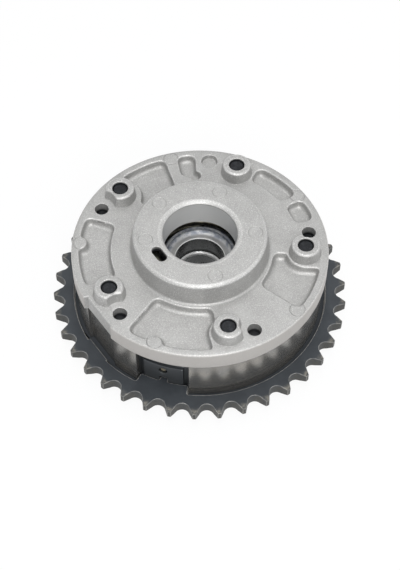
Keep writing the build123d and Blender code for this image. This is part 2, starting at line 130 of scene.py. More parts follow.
def soften(piece, edge, fillet, steps=2, keep=None):
    """Rounds a piece's outward edges by one radius and its inward ones by another.

    Edges that keep picks out stay as they are. The new faces are remembered in an
    attribute, which the finishes read for wear and for painted highlights.
    """
    widest = max(edge, fillet)
    bm = bmesh.new()
    bm.from_mesh(piece.data)
    weight = bm.edges.layers.float.new("bevel_weight_edge")
    for side in bm.edges:
        if not side.is_manifold:
            continue
        turn = side.calc_face_angle_signed(0)
        if abs(turn) < sharp_turn or (keep and keep(side)):
            continue
        side[weight] = (edge if turn > 0 else fillet) / widest
    bm.to_mesh(piece.data)
    bm.free()
    while len(piece.data.materials) < 2:
        piece.data.materials.append(None)
    rounding = piece.modifiers.new("rounding", "BEVEL")
    rounding.limit_method = "WEIGHT"
    rounding.width = widest
    rounding.segments = steps
    rounding.use_clamp_overlap = False
    rounding.material = 1
    applied(piece)
    faces = piece.data.polygons
    slots = np.zeros(len(faces), np.int32)
    faces.foreach_get("material_index", slots)
    wear_and_highlight = piece.data.attributes.new("wear_and_highlight", "FLOAT", "FACE")
    wear_and_highlight.data.foreach_set("value", (slots == 1).astype(np.float32))
    faces.foreach_set("material_index", np.zeros(len(faces), np.int32))
    piece.data.materials.clear()
    return piece


def finished(piece, finish, slot, body, *replaced, smooth=30):
    """Scales a piece to metres, gives it its finish and puts it on its body."""
    piece.data.transform(Matrix.Scale(metre, 4))
    piece.data.materials.clear()
    piece.data.materials.append(finish)
    piece.data.set_sharp_from_angle(angle=radians(smooth))
    even = piece.modifiers.new("even", "WEIGHTED_NORMAL")
    even.keep_sharp = True
    applied(piece)
    if body:
        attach(piece, body)
    if replaced:
        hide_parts(*replaced)
    return piece


class Signal:
    """A socket of a shader node that Python's arithmetic carries on from."""

    def __init__(self, shading, socket):
        self.shading, self.socket = shading, socket

    def _math(self, operation, *values):
        inputs = dict(enumerate(values))
        return self.shading.node("ShaderNodeMath", {"operation": operation}, inputs)

    def __add__(self, other):
        return self._math("ADD", self, other)

    __radd__ = __add__

    def __sub__(self, other):
        return self._math("SUBTRACT", self, other)

    def __rsub__(self, other):
        return self._math("SUBTRACT", other, self)

    def __mul__(self, other):
        return self._math("MULTIPLY", self, other)

    __rmul__ = __mul__

    def __pow__(self, other):
        return self._math("POWER", self, other)

    def ramp(self, low, high):
        """0 below the first value, 1 above the second, and smooth between them."""
        settings = {"interpolation_type": "SMOOTHSTEP"}
        inputs = {"Value": self, "From Min": low, "From Max": high}
        return self.shading.node("ShaderNodeMapRange", settings, inputs)


def socket_name(name):
    """The shader's own name for a socket."""
    return name.replace("_", " ").title().replace("Ior", "IOR")


class Shading:
    """The node tree of a material or of the world."""

    def __init__(self, tree):
        self.tree = tree

    def node(self, kind, settings=None, inputs=None, out=0):
        """Any node: its settings are set first, then its sockets' values or links."""
        made = self.tree.nodes.new(kind)
        for name, value in (settings or {}).items():
            setattr(made, name, value)
        for name, value in (inputs or {}).items():
            if isinstance(value, Signal):
                self.tree.links.new(value.socket, made.inputs[name])
            else:
                made.inputs[name].default_value = value
        return Signal(self, made.outputs[out])

    def show(self, signal, output):
        """Links a shader to the tree's own output."""
        self.tree.links.new(signal.socket, self.tree.nodes[output].inputs["Surface"])


class Finish(Shading):
    """A material round one Principled shader, whose even values are set on its sockets."""

    def __init__(self, name, **even):
        self.material = bpy.data.materials.new(name)
        self.material.use_nodes = True
        super().__init__(self.material.node_tree)
        self.shader = self.tree.nodes["Principled BSDF"]
        for socket, value in even.items():
            self.shader.inputs[socket_name(socket)].default_value = value

    def place(self, scale=(1, 1, 1)):
        """The place on the piece in millimetres, stretched by a scale."""
        here = self.node("ShaderNodeTexCoord", out="Object")
        size = [s / metre for s in scale]
        return self.node("ShaderNodeMapping", inputs={"Vector": here, "Scale": size})

    def axes(self):
        """X, Y and Z on the piece in millimetres."""
        split = self.node("ShaderNodeSeparateXYZ", inputs={"Vector": self.place()})
        outputs = split.socket.node.outputs
        return [Signal(self, outputs[i]) for i in range(3)]

    def radius(self):
        """The distance from the axis in millimetres."""
        x, y, _ = self.axes()
        return (x * x + y * y) ** 0.5

    def noise(self, grain, detail=3, rough=0.55, scale=(1, 1, 1)):
        """Noise whose features are about a grain wide, in millimetres."""
        inputs = {
            "Vector": self.place(scale),
            "Scale": 1 / grain,
            "Detail": detail,
            "Roughness": rough,
        }
        return self.node("ShaderNodeTexNoise", inputs=inputs)

    def turning(self, radius, z):
        """The fine lines that a cutting tool leaves round the axis."""
        across = self.node("ShaderNodeCombineXYZ", inputs={0: radius, 1: 0.0, 2: z})
        inputs = {"Vector": across, "Scale": 1 / line_pitch, "Detail": 2, "Roughness": 0.7}
        return self.node("ShaderNodeTexNoise", inputs=inputs)

    def attribute(self, name):
        """A value that the mesh carries."""
        return self.node("ShaderNodeAttribute", {"attribute_name": name}, out="Fac")

    def mix(self, factor, first, second):
        """One colour turned into another."""
        inputs = {0: factor}
        for index, colour in ((6, first), (7, second)):
            inputs[index] = colour if isinstance(colour, Signal) else (*colour, 1)
        return self.node("ShaderNodeMix", {"data_type": "RGBA"}, inputs, out=2)

    def bump(self, height, depth, under=None):
        """Relief whose height of 1 stands for a depth in millimetres."""
        inputs = {"Height": height, "Distance": depth * metre, "Strength": 1.0}
        if under:
            inputs["Normal"] = under
        return self.node("ShaderNodeBump", inputs=inputs)

    def wire(self, **sockets):
        """Links what changes over the surface to the shader and returns the material."""
        for name, signal in sockets.items():
            socket = self.shader.inputs[socket_name(name)]
            self.tree.links.new(signal.socket, socket)
        return self.material


def slate_steel():
    """Steam-treated steel, wear-browned flanks, painted highlights on edges and tips."""
    finish = Finish("steam_treated_steel", metallic=0.25, specular_ior_level=0.25)
    slate, deep = (0.052, 0.058, 0.065), (0.042, 0.047, 0.053)
    brown, tip_highlight, bright = (0.070, 0.068, 0.061), (0.27, 0.25, 0.21), (0.42, 0.41, 0.39)
    radius = finish.radius()
    _, _, z = finish.axes()
    face = z.ramp(wheel_face_z - 0.7, wheel_face_z - 0.3)
    cloud = finish.noise(9.0, 4).ramp(0.35, 0.68)
    patches = finish.noise(1.6, 4).ramp(0.42, 0.62)
    wear_and_highlight = finish.attribute("wear_and_highlight")
    outer = radius.ramp(tooth_root_r - 1.6, tooth_root_r + 1.2)
    flank = outer * (1 - face) * (0.55 + 0.45 * patches)
    # Painted highlights: tan on the chamfers of the tips, and the bright colour on the rounded
    # edges.
    tip = radius.ramp(tooth_tip_r - 3.0, tooth_tip_r - 0.4) * face * (0.15 + 0.6 * patches)
    edge = wear_and_highlight * (0.6 + 0.4 * patches) * (1 - 0.65 * outer)
    colour = finish.mix(cloud, slate, deep)
    colour = finish.mix(flank, colour, brown)
    colour = finish.mix(tip, colour, tip_highlight)
    colour = finish.mix(edge, colour, bright)
    relief = finish.bump(finish.noise(0.22, 2), 0.010)
    roughness = 0.42 + 0.16 * finish.noise(2.4, 3) - 0.12 * wear_and_highlight
    return finish.wire(base_color=colour, roughness=roughness, normal=relief)


def recess_step(start, end):
    """What lies beyond the recess's flat between two angles, with an end on the flat."""
    turns = [start + (end - start) * i / recess_steps for i in range(recess_steps + 1)]
    outline = [at(recess_r, angle) for angle in turns]
    outline += [at(recess_flat_r - recess_overlap, angle) for angle in (end, start)]
    bm = bmesh.new()
    low = [bm.verts.new((p.x, p.y, recess_z)) for p in outline]
    high = [bm.verts.new((p.x, p.y, wheel_face_z + 2 * recess_overlap)) for p in outline]
    bm.faces.new(low)
    bm.faces.new(high)
    for i in range(len(outline)):
        k = (i + 1) % len(outline)
        bm.faces.new((low[i], low[k], high[k], high[i]))
    bmesh.ops.recalc_face_normals(bm, faces=bm.faces)
    return as_object("recess_step", bm)


def combined(piece, other, operation):
    """Joins a piece with another or cuts the other out of it; the other is used up."""
    change = piece.modifiers.new("combined", "BOOLEAN")
    change.object = other
    change.operation = operation
    change.solver = "EXACT"
    applied(piece)
    bpy.data.objects.remove(other)
    return piece


def cut_recess_steps(wheel):
    """Opens the recess to its full radius at both ends of its flat."""
    reach = degrees(acos(recess_flat_r / recess_r))
    start, end = recess_flat_angles
    before = recess_step(recess_flat_angle - reach - recess_overlap_turn, start)
    combined(wheel, before, "DIFFERENCE")
    after = recess_step(end, recess_flat_angle + reach + recess_overlap_turn)
    combined(wheel, after, "DIFFERENCE")


def in_rear_round(edge):
    """Whether an edge belongs to the rear hub's rounding, which the solid already has."""
    middle = (edge.verts[0].co + edge.verts[1].co) / 2
    beside = abs(middle.xy.length - rear_hub_r) < 2 * rear_hub_round
    return beside and middle.z < 2 * rear_hub_round


wheel = as_object("toothed_wheel", solid_copy("sprocket"))
cut_recess_steps(wheel)
soften(wheel, wheel_edge, wheel_fillet, keep=in_rear_round)
finished(wheel, slate_steel(), "sprocket", "housing", "sprocket")


# Housing ring. Sintered steel, turned on the outside to a dull mirror that shows the
# wheel's teeth, and left dark as it came from the furnace inside and in the window.
ring_edge, ring_fillet = 0.25, 0.35
turned_from_r, turned_run = 47.75, 0.05


def ring_steel():
    """Bright turned steel outside, dark as-sintered steel everywhere else."""
    finish = Finish("turned_ring_steel", metallic=0.85)
    bright, warm = (0.25, 0.245, 0.235), (0.30, 0.285, 0.262)
    dark, stained = (0.115, 0.123, 0.130), (0.16, 0.15, 0.14)
    outside = finish.radius().ramp(turned_from_r - turned_run, turned_from_r + turned_run)
    cloud = finish.noise(7.0, 3).ramp(0.35, 0.7)
    stain = finish.noise(1.3, 5, 0.65).ramp(0.5, 0.75)
    colour = finish.mix(cloud, bright, warm)
    colour = finish.mix(stain * 0.12, colour, stained)
    colour = finish.mix(outside, dark, colour)
    lines = finish.noise(0.5, 3, 0.6, scale=(0.12, 0.12, 5.0))
    relief = finish.bump(lines, 0.0015)
    roughness = 0.44 - 0.20 * outside + 0.04 * stain
    return finish.wire(base_color=colour, roughness=roughness, normal=relief)


ring = soften(as_object("housing_ring", solid_copy("stator_housing")), ring_edge, ring_fillet)
finished(ring, ring_steel(), "housing", "housing", "stator_housing")


# Ball. A hard steel ball pressed into the drilling of the housing's pad.
def ball_steel():
    """Polished steel, a little yellow."""
    finish = Finish("ball_steel", metallic=1.0)
    yellow, brown = (0.17, 0.155, 0.115), (0.11, 0.10, 0.08)
    colour = finish.mix(finish.noise(1.2), yellow, brown)
    return finish.wire(base_color=colour, roughness=0.06 + 0.08 * finish.noise(0.8))


def dress(node, material):
    """Gives a CAD solid its material."""
    piece = nodes[node]
    piece.data.materials.clear()
    piece.data.materials.append(material)


dress("drilling_plug", ball_steel())


# Rotor. Sintered steel with five vanes, ground on its end faces. Its nose shows in the
# cover's bore and is turned anew in fine rings: the centre bolt's dished seat with oily
# blue smears on it, and the polished socket and bore under that, painted dark as shade,
# with a painted highlight on the edge of the seat's bore and on the step.
rotor_edge, rotor_fillet = 0.2, 0.3
nose_r, nose_foot_z, nose_top_z = 14.5, 16.0, 31.7
nose_core_r, nose_core_rise = 13.0, 5.0
fine_sides = 240
nose_profile = (
    (14.5, 16.0), (14.5, 31.4), (14.42, 31.6), (14.25, 31.7), (14.0, 31.68), (13.75, 31.5),
    (13.5, 31.1), (13.2, 30.7), (12.8, 30.32), (12.3, 30.03), (11.8, 29.86), (11.2, 29.8),
    (10.2, 29.8), (10.08, 29.76), (9.96, 29.64), (9.9, 29.45), (9.9, 21.8), (9.86, 21.6),
    (9.7, 21.44), (9.5, 21.4), (9.0, 21.4), (8.86, 21.3), (8.45, 20.5), (8.4, 20.3), (8.4, 16.0),
)
# The strips at the edge of the seat's bore and on the step, which carry a painted highlight.
nose_highlight_strips = (12, 13, 14, 18, 19, 20, 21)
seat_run = (11.4, 12.8)
socket_run = (9.97, 10.02)


class Skin:
    """A closed skin of rings at set heights, strips between them and flats inside them."""

    def __init__(self):
        self.bm = bmesh.new()
        self.wear_and_highlight = self.bm.faces.layers.float.new("wear_and_highlight")

    def ring(self, outline, z):
        return [self.bm.verts.new((x, y, z)) for x, y in outline]

    def strips(self, rings, rubbed=()):
        """Joins each ring to the next; marks rubbed strips for wear and painted highlights."""
        for i, (a, b) in enumerate(zip(rings, rings[1:])):
            for j in range(len(a)):
                k = (j + 1) % len(a)
                face = self.bm.faces.new((a[j], a[k], b[k], b[j]))
                face[self.wear_and_highlight] = 1.0 if i in rubbed else 0.0
        return rings[0], rings[-1]

    def lay(self, outline, profile, rubbed=()):
        """Lays a ring for each step and height of a profile and joins them."""
        rings = [self.ring(outline(step), z) for step, z in profile]
        return self.strips(rings, rubbed)

    def flat(self, *rings, loose=()):
        """Fills the ground between rings: what an odd number of them goes round."""
        corners = [vertex for ring in (*rings, loose) for vertex in ring]
        ground = [vertex.co.to_2d() for vertex in corners]
        sides, start = [], 0
        for ring in rings:
            count = len(ring)
            sides += [(start + i, start + (i + 1) % count) for i in range(count)]
            start += count
        found, _, triangles, origins, _, _ = delaunay_2d_cdt(ground, sides, [], 0, 1e-6)
        middles = np.array([sum((found[i] for i in t), Vector((0, 0))) / 3 for t in triangles])
        ends = np.array([(ground[a].to_tuple(), ground[b].to_tuple()) for a, b in sides])
        for triangle, inside in zip(triangles, crossings(middles, ends) % 2):
            if inside:
                self.bm.faces.new([corners[origins[i][0]] for i in triangle])

    def closed(self, name):
        """The skin as an object, with its faces outwards."""
        bmesh.ops.recalc_face_normals(self.bm, faces=self.bm.faces)
        return as_object(name, self.bm)


def crossings(points, sides):
    """How many sides a line from each point to its right crosses."""
    count = np.zeros(len(points), int)
    for (ax, ay), (bx, by) in sides:
        over = (ay > points[:, 1]) != (by > points[:, 1])
        if over.any():
            x = ax + (points[over, 1] - ay) / (by - ay) * (bx - ax)
            count[over] += points[over, 0] < x
    return count


def polar(radii, angles, centre=(0, 0)):
    """The outline of radii at angles in degrees, about a centre."""
    turn = np.radians(angles)
    return np.stack((centre[0] + radii * np.cos(turn), centre[1] + radii * np.sin(turn)), 1)


def all_round(count):
    """Angles in degrees at equal distances, once round."""
    return np.arange(count) * 360 / count


def circle(radius, count=fine_sides, centre=(0, 0)):
    return polar(np.full(count, radius), all_round(count), centre)


def turned(name, profile, rubbed=()):
    """A ring turned round the axis from a closed profile of radii and heights."""
    skin = Skin()
    rings = [skin.ring(circle(radius), z) for radius, z in profile]
    skin.strips(rings + rings[:1], rubbed)
    return skin.closed(name)


def core():
    """A plain cylinder that clears the coarse nose away."""
    skin = Skin()
    profile = ((nose_core_r, nose_foot_z), (nose_core_r, nose_top_z + nose_core_rise))
    for ring in skin.lay(circle, profile):
        skin.flat(ring)
    return skin.closed("core")


def in_nose(edge):
    """Whether an edge belongs to the coarse nose."""
    middle = (edge.verts[0].co + edge.verts[1].co) / 2
    return middle.xy.length < nose_r + rotor_edge / 2 and middle.z > nose_foot_z


def rotor_steel():
    """Turned steel with fine lines round the axis: a smeared seat ring and bores painted
    dark as shade, with a painted highlight on the edges of the seat's bore and its step.
    """
    finish = Finish("machined_rotor_steel")
    bright, pale, blue = (0.25, 0.25, 0.247), (0.42, 0.43, 0.44), (0.14, 0.155, 0.19)
    dark, polished = (0.060, 0.062, 0.062), (0.74, 0.74, 0.73)
    radius = finish.radius()
    _, _, z = finish.axes()
    smear = finish.noise(1.7, 5, 0.66, scale=(0.7, 0.7, 1)).ramp(0.40, 0.60)
    outer = radius.ramp(*seat_run)
    # The socket and bore under the seat are painted dark as shade.
    inside = 1 - radius.ramp(*socket_run)
    wear_and_highlight = finish.attribute("wear_and_highlight")
    colour = finish.mix(outer * 0.6, bright, pale)
    colour = finish.mix(smear * (0.15 + 0.75 * outer), colour, blue)
    colour = finish.mix(inside, colour, dark)
    # The rubbed strips are painted bright as a highlight, and made less metallic so that it shows.
    colour = finish.mix(wear_and_highlight * 0.8, colour, polished)
    relief = finish.bump(finish.turning(radius, z), 0.018)
    roughness = 0.40 - 0.20 * inside + 0.10 * smear
    metallic = 1 - 0.45 * outer - 0.6 * wear_and_highlight
    return finish.wire(base_color=colour, roughness=roughness, metallic=metallic, normal=relief)


rotor = soften(as_object("vane_rotor", solid_copy("rotor")), rotor_edge, rotor_fillet, keep=in_nose)
combined(rotor, core(), "DIFFERENCE")
combined(rotor, turned("nose", nose_profile, nose_highlight_strips), "UNION")
finished(rotor, rotor_steel(), "rotor", "rotor", "rotor")


# Hardened pieces. The ring that the wheel turns on and the camshaft enters, the lock pin,
# its vented cap and its bush are ground steel, and stay the solids that they are.
def ground_steel():
    """Ground hardened steel with fine grinding lines."""
    finish = Finish("ground_steel", metallic=1.0)
    pale, grey = (0.42, 0.42, 0.43), (0.34, 0.345, 0.36)
    colour = finish.mix(finish.noise(3.0).ramp(0.35, 0.7), pale, grey)
    relief = finish.bump(finish.noise(0.25, 2, 0.5, scale=(0.2, 0.2, 5.0)), 0.003)
    return finish.wire(base_color=colour, roughness=0.2 + 0.12 * finish.noise(1.5), normal=relief)


hard = ground_steel()
for node in ("journal_ring", "lock_pin", "lock_cap", "lock_bush"):
    dress(node, hard)


# Seals. Ten bars of filled plastic in the vanes and lobes, each pushed out by a bowed
# strip of spring steel.
def seal_plastic():
    """Dark filled plastic with a fine grain."""
    finish = Finish("seal_plastic", metallic=0.0)
    dark, brown = (0.030, 0.026, 0.022), (0.055, 0.048, 0.040)
    colour = finish.mix(finish.noise(0.6), dark, brown)
    return finish.wire(base_color=colour, roughness=0.42 + 0.2 * finish.noise(0.4))


def strip_steel():
    """Bright strip between straw and blue."""
    finish = Finish("strip_steel", metallic=1.0)
    straw, blued = (0.50, 0.47, 0.40), (0.36, 0.36, 0.38)
    colour = finish.mix(finish.noise(1.0), straw, blued)
    return finish.wire(base_color=colour, roughness=0.22 + 0.15 * finish.noise(0.5))


plastic, strip = seal_plastic(), strip_steel()
for node in nodes:
    if "seal_spring" in node:
        dress(node, strip)
    elif "seal" in node:
        dress(node, plastic)


# Bias spring. A coil of oil-tempered wire round the cover's sleeve, which turns the rotor
# back; a radial leg at each end sits in a notch, one in the rotor and one in the cover.
wire_r, wire_sides = 1.5, 12
coil_r, leg_end_r = 18.9, 25.9
bend_r, bend_from, bend_steps = 2.6, 0.25, 6
top_leg_angle, spring_turns = 7.3, 4.75
points_per_turn = 40


def wire_points(coil_radius, first_angle, turns, low, high, bend=0, leg_r=0):
    """The line of a coil; with a bend and a leg radius its ends turn outwards."""
    count = int(points_per_turn * turns)
    angles = [first_angle + 360 * turns * i / count for i in range(count + 1)]
    points = [at(coil_radius, a, low + (high - low) * i / count) for i, a in enumerate(angles)]
    if not bend:
        return points
    return (
        leg_points(coil_radius, angles[0], low, -1, bend, leg_r)[::-1]
        + points
        + leg_points(coil_radius, angles[-1], high, 1, bend, leg_r)
    )


def leg_points(coil_radius, angle, z, way, bend, leg_r):
    """A bend out of the coil's circle and the straight leg after it."""
    out, on = at(1, angle), at(1, angle + 90 * way)
    corner = at(coil_radius, angle, z) + out * bend
    turns = np.linspace(bend_from, pi / 2, bend_steps)
    arc = [corner + on * bend * sin(t) - out * bend * cos(t) for t in turns]
    return arc + [arc[-1] + out * (leg_r - coil_radius - bend)]


def swept(name, points, radius, sides):
    """A round wire along a line of points, as a plain mesh in millimetres."""
    curve = bpy.data.curves.new(name, "CURVE")
    curve.dimensions = "3D"
    line = curve.splines.new("POLY")
    line.points.add(len(points) - 1)
    for spot, point in zip(line.points, points):
        spot.co = (*point, 1)
    curve.bevel_depth = radius
    curve.bevel_resolution = sides // 4
    curve.use_fill_caps = True
    maker = bpy.data.objects.new(name, curve)
    bpy.context.scene.collection.objects.link(maker)
    graph = bpy.context.evaluated_depsgraph_get()
    mesh = bpy.data.meshes.new_from_object(maker.evaluated_get(graph))
    bpy.data.objects.remove(maker)
    piece = bpy.data.objects.new(name, mesh)
    bpy.context.scene.collection.objects.link(piece)
    return piece


def spring_steel():
    """Oil-tempered wire, olive brown with darker bands."""
    finish = Finish("oil_tempered_wire", metallic=0.9)
    olive, dark = (0.130, 0.124, 0.096), (0.055, 0.054, 0.047)
    colour = finish.mix(finish.noise(1.8).ramp(0.35, 0.7), olive, dark)
    return finish.wire(base_color=colour, roughness=0.24 + 0.2 * finish.noise(0.7))


tempered = spring_steel()
low, high = (corner.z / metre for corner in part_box("bias_spring"))
line = wire_points(
    coil_r,
    top_leg_angle - 360 * spring_turns,
    spring_turns,
    low + wire_r,
    high - wire_r,
    bend_r,
    leg_end_r,
)
spring = swept("bias_coil", line, wire_r, wire_sides)
finished(spring, tempered, "spring_wire", None, "bias_spring", smooth=60)
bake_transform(spring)


# Lock spring. A small coil inside the lock pin, under the cap.
lock_wire_r, lock_wire_sides = 0.3, 8
lock_turns = 5
low_corner, high_corner = (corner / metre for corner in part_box("lock_spring"))
lock_axis = (low_corner + high_corner) / 2
lock_coil_r = (high_corner.x - low_corner.x) / 2 - lock_wire_r
rise = (low_corner.z + lock_wire_r, high_corner.z - lock_wire_r)
line = wire_points(lock_coil_r, 0, lock_turns, *rise)
line = [point + Vector((lock_axis.x, lock_axis.y, 0)) for point in line]
lock_coil = swept("lock_coil", line, lock_wire_r, lock_wire_sides)
finished(lock_coil, tempered, "spring_wire", "rotor", "lock_spring", smooth=60)
lift = next(j for j in frame["joints"] if j["name"] == "lock_pin_slide")["range_m"][1]
length = (high_corner.z - low_corner.z) * metre
1 - lift / length
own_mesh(lock_coil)


# Front cover. Die-cast aluminium, sandblasted. Its skin is laid in rings from the edge
# inwards: cast recesses with drafted walls leave webs round the bolt bosses, and a hollow
# hub covers the bias spring. Ejector pins left faint rings on it.
bolt_angles = [72 * i for i in range(5)]
joint_z, plate_z, roof_z, hub_z = 28.8, 37.0, 44.4, 47.0
solid_floor_z = 35.4
cover_r, cover_sides = 50.7, 1440
flat_angle, flat_angles, flat_r = -141.4, (-148.6, -129.4), 48.9
step_run = 0.8
bolt_circle_r, bolt_hole_r, hole_sides = 41.4, 3.02, 48
small_hole_r, small_hole_circle_r, small_hole_lead = 2.75, 43.9, 13.2
spot_r, spot_place, spot_bolt = 3.3, (44.7, 88.2), 1
boss_top_r, boss_sides, boss_wall = 5.7, 120, 0.74
notch_r, notch_blend = 6.0, 0.7
cavity_r, cavity_sides, bore_r = 23.5, 720, 14.5
leg_notch_angle, leg_notch_r, leg_notch_half_width = 7.3, 26.5, 1.65
slot_r, slot_angle, slot_size, slot_sides = 18.9, -142.7, (7.6, 4.0), 48
mark_r, mark_circle_r, mark_step, mark_depth = 2.8, 21.55, 0.16, 0.15
mark_angles = (141.2, 71.9, 2.9, -71.3, -166.8)
pad_r, pad_line = 3.0, 0.3
pad_places = ((180.4, 47.2), (107.8, 47.4), (37.0, 47.4), (-35.1, 47.4), (-108.0, 47.2))
loop_pitch, ease_passes, fit_gap = 0.35, 3, 0.03

# Each profile is a list of steps outwards from its outline, with the height of each. The
# last two hold radii in place of steps.
rim_profile = ((-0.62, 37.0), (-0.42, 36.93), (-0.2, 36.78), (-0.06, 36.55), (0, 36.2))
rim_foot = ((0, 29.2), (-0.08, 28.95), (-0.25, 28.8))
pocket_profile = ((0.6, 37.0), (0.44, 36.96), (0.26, 36.84), (0.1, 36.62), (0.0, 36.3))
# The pockets' floors lie lower than the solid's, as they do in the photograph.
pocket_wall = (
    (0.07, 35.85), (0.15, 35.4), (0.26, 35.0), (0.44, 34.6), (0.7, 34.27), (1.04, 34.05),
    (1.44, 33.93), (1.9, 33.9),
)
boss_profile = (
    (0.8, 37.0), (0.72, 37.05), (0.63, 37.22), (0.56, 37.55), (0.5, 38.0), (0.06, 41.15),
    (-0.06, 41.5), (-0.28, 41.78), (-0.58, 41.94), (-0.85, 42.0),
)
bolt_mouth = (
    (0.42, 42.0), (0.32, 41.95), (0.2, 41.8), (0.12, 41.5), (0.0, 40.9), (0.0, 29.1),
    (0.25, 28.8),
)
small_hole_profile = ((0.22, 37.0), (0.08, 36.94), (0.0, 36.75), (-0.05, 32.3), (-0.3, 32.0))
spot_profile = (
    (0.28, 37.0), (0.12, 36.94), (0.0, 36.75), (-0.12, 35.5), (-0.3, 35.2), (-0.7, 35.1),
)
mark_groove = ((mark_step, hub_z), (0.0, hub_z - mark_depth), (-mark_step, hub_z))
slot_profile = ((0.17, 47.0), (0.06, 46.95), (0.0, 46.8), (0.0, 44.4))
hub_profile = (
    (28.35, 37.0), (27.9, 37.07), (27.5, 37.28), (27.24, 37.68), (27.1, 38.3), (26.45, 45.4),
    (26.3, 45.95), (26.0, 46.42), (25.55, 46.77), (25.05, 46.95), (24.6, 47.0),
)
mouth_profile = (
    (16.55, 47.0), (16.2, 46.97), (15.8, 46.89), (15.4, 46.76), (15.05, 46.58), (14.78, 46.38),
    (14.6, 46.16), (14.52, 45.96), (14.5, 45.75), (14.5, 35.1), (14.7, 34.9), (16.3, 34.9),
    (16.5, 35.1), (16.5, 44.4),
)

# The radii and heights between which the cover's finish changes, and between which the painted
# shade in its holes and slot fades.
rim_run, sleeve_run, slot_reach = (50.25, 50.6), (15.0, 15.4), 4.6
mouth_run, slot_run = (45.7, 45.8), (45.2, 46.6)
small_hole_run, bolt_hole_run = (32.8, 34.4), (41.2, 41.7)


def gate(value, low, high, run):
    """1 between two values and 0 outside, with a soft run at each."""
    rise = np.clip((value - low) / run + 0.5, 0, 1)
    fall = np.clip((high - value) / run + 0.5, 0, 1)
    return smooth(rise) * smooth(fall)


def smooth(share):
    return share * share * (3 - 2 * share)


def rim_outline(step):
    """The cover's edge with its flat, a step outwards."""
    angles = all_round(cover_sides) - 180
    straight = flat_r / np.cos(np.radians(angles - flat_angle))
    on_flat = gate(angles, *flat_angles, step_run)
    return polar(cover_r + step + (straight - cover_r) * on_flat, angles)


def cavity_outline():
    """The wall round the bias spring, with the notch that holds the spring's leg."""
    angles = all_round(cavity_sides)
    off = (angles - leg_notch_angle + 180) % 360 - 180
    half = np.degrees(leg_notch_half_width / cavity_r)
    in_notch = gate(off, -half, half, step_run)
    return polar(cavity_r + (leg_notch_r - cavity_r) * in_notch, angles)


def boss_outline(step, centre, hole):
    """A round boss, a step outwards, that makes way for a small hole beside it."""
    out_of_reach = 99.0
    angles = all_round(boss_sides)
    radii = np.full(boss_sides, boss_top_r + step)
    if hole is not None:
        away = hole - centre
        turn = np.radians(angles) - np.arctan2(away[1], away[0])
        reach, clear = np.hypot(*away), notch_r - step
        under = clear**2 - (reach * np.sin(turn)) ** 2
        meets = (under > 0) & (np.cos(turn) > 0)
        near = reach * np.cos(turn) - np.sqrt(np.maximum(under, 0))
        near = np.where(meets, near, out_of_reach)
        share = np.clip(0.5 + (near - radii) / (2 * notch_blend), 0, 1)
        radii = near + (radii - near) * share - notch_blend * share * (1 - share)
    return polar(np.maximum(radii, bolt_hole_r + boss_wall), angles, centre)


def slot_outline(step):
    """A slot with round ends across a radius, a step outwards."""
    half, radius = (slot_size[0] - slot_size[1]) / 2, slot_size[1] / 2 + step
    turns = np.radians(all_round(slot_sides))
    along = np.where(np.cos(turns) > 0, half, -half) + radius * np.cos(turns)
    across = radius * np.sin(turns)
    out, on = at(1, slot_angle), at(1, slot_angle + 90)
    x = out.x * (slot_r + across) + on.x * along
    y = out.y * (slot_r + across) + on.y * along
    return np.stack((x, y), 1)


def basin(skin, ring, loop):
    """Fills a pocket's ring with a drafted wall that curves into a level floor."""
    sides = np.hstack((loop, np.roll(loop, -1, 0))).reshape(-1, 2, 2)
    loose = []
    for step, z in pocket_wall:
        row = grown(loop, -step)
        loose += skin.ring(row[nearest(row, sides) > step - fit_gap], z)
    skin.flat(ring, loose=loose)


def nearest(points, sides):
    """How far each point is from the nearest of many sides."""
    start, along = sides[:, 0], sides[:, 1] - sides[:, 0]
    away = points[:, None] - start
    share = np.clip((away * along).sum(2) / (along**2).sum(1), 0, 1)
    return np.hypot(*np.moveaxis(away - share[..., None] * along, 2, 0)).min(1)


def floor_loops(node, z):
    """The outlines of a solid's level faces at a height, evenly divided."""
    bm = welded_copy(node)
    for face in bm.faces:
        face.tag = face.normal.z > 0.99 and abs(face.calc_center_median().z - z) < 0.01
    after = {}
    for face in bm.faces:
        for corner in face.loops if face.tag else ():
            if sum(beside.tag for beside in corner.edge.link_faces) == 1:
                after[corner.vert] = corner.link_loop_next.vert
    loops = []
    while after:
        vertex = next(iter(after))
        loop = []
        while vertex in after:
            loop.append(vertex.co.to_2d())
            vertex = after.pop(vertex)
        loops.append(evenly(np.array(loop)))
    bm.free()
    return loops


def evenly(loop):
    """A closed outline with its points at equal distances, and its corners eased."""
    closed = np.vstack((loop, loop[:1]))
    run = np.concatenate(([0], np.cumsum(np.hypot(*np.diff(closed, axis=0).T))))
    places = np.linspace(0, run[-1], int(run[-1] / loop_pitch), endpoint=False)
    even = np.stack([np.interp(places, run, closed[:, i]) for i in (0, 1)], 1)
    for _ in range(ease_passes):
        even = (np.roll(even, 1, 0) + 2 * even + np.roll(even, -1, 0)) / 4
    return even


def grown(loop, step):
    """An anticlockwise outline moved outwards by a step."""
    along = np.roll(loop, -1, 0) - np.roll(loop, 1, 0)
    along /= np.hypot(*along.T)[:, None]
    return loop + step * np.stack((along[:, 1], -along[:, 0]), 1)


def hole_place(i):
    """Where the small hole beside a bolt is."""
    return np.array(at(small_hole_circle_r, bolt_angles[i] + small_hole_lead)[:2])


def lay_rim(skin, level):
    """Lays the cover's outer edge with its flat."""
    top, foot = skin.lay(rim_outline, rim_profile + rim_foot, rubbed=(1, 2, 3))
    level["plate"].append(top)
    level["underside"].append(foot)


def lay_pockets(skin, level):
    """Sinks the cast recesses, whose outlines are taken from the solid."""
    for loop in floor_loops("front_cover", solid_floor_z):
        top, low = skin.lay(lambda step: grown(loop, step), pocket_profile, rubbed=(0, 1, 2))
        level["plate"].append(top)
        basin(skin, low, loop)


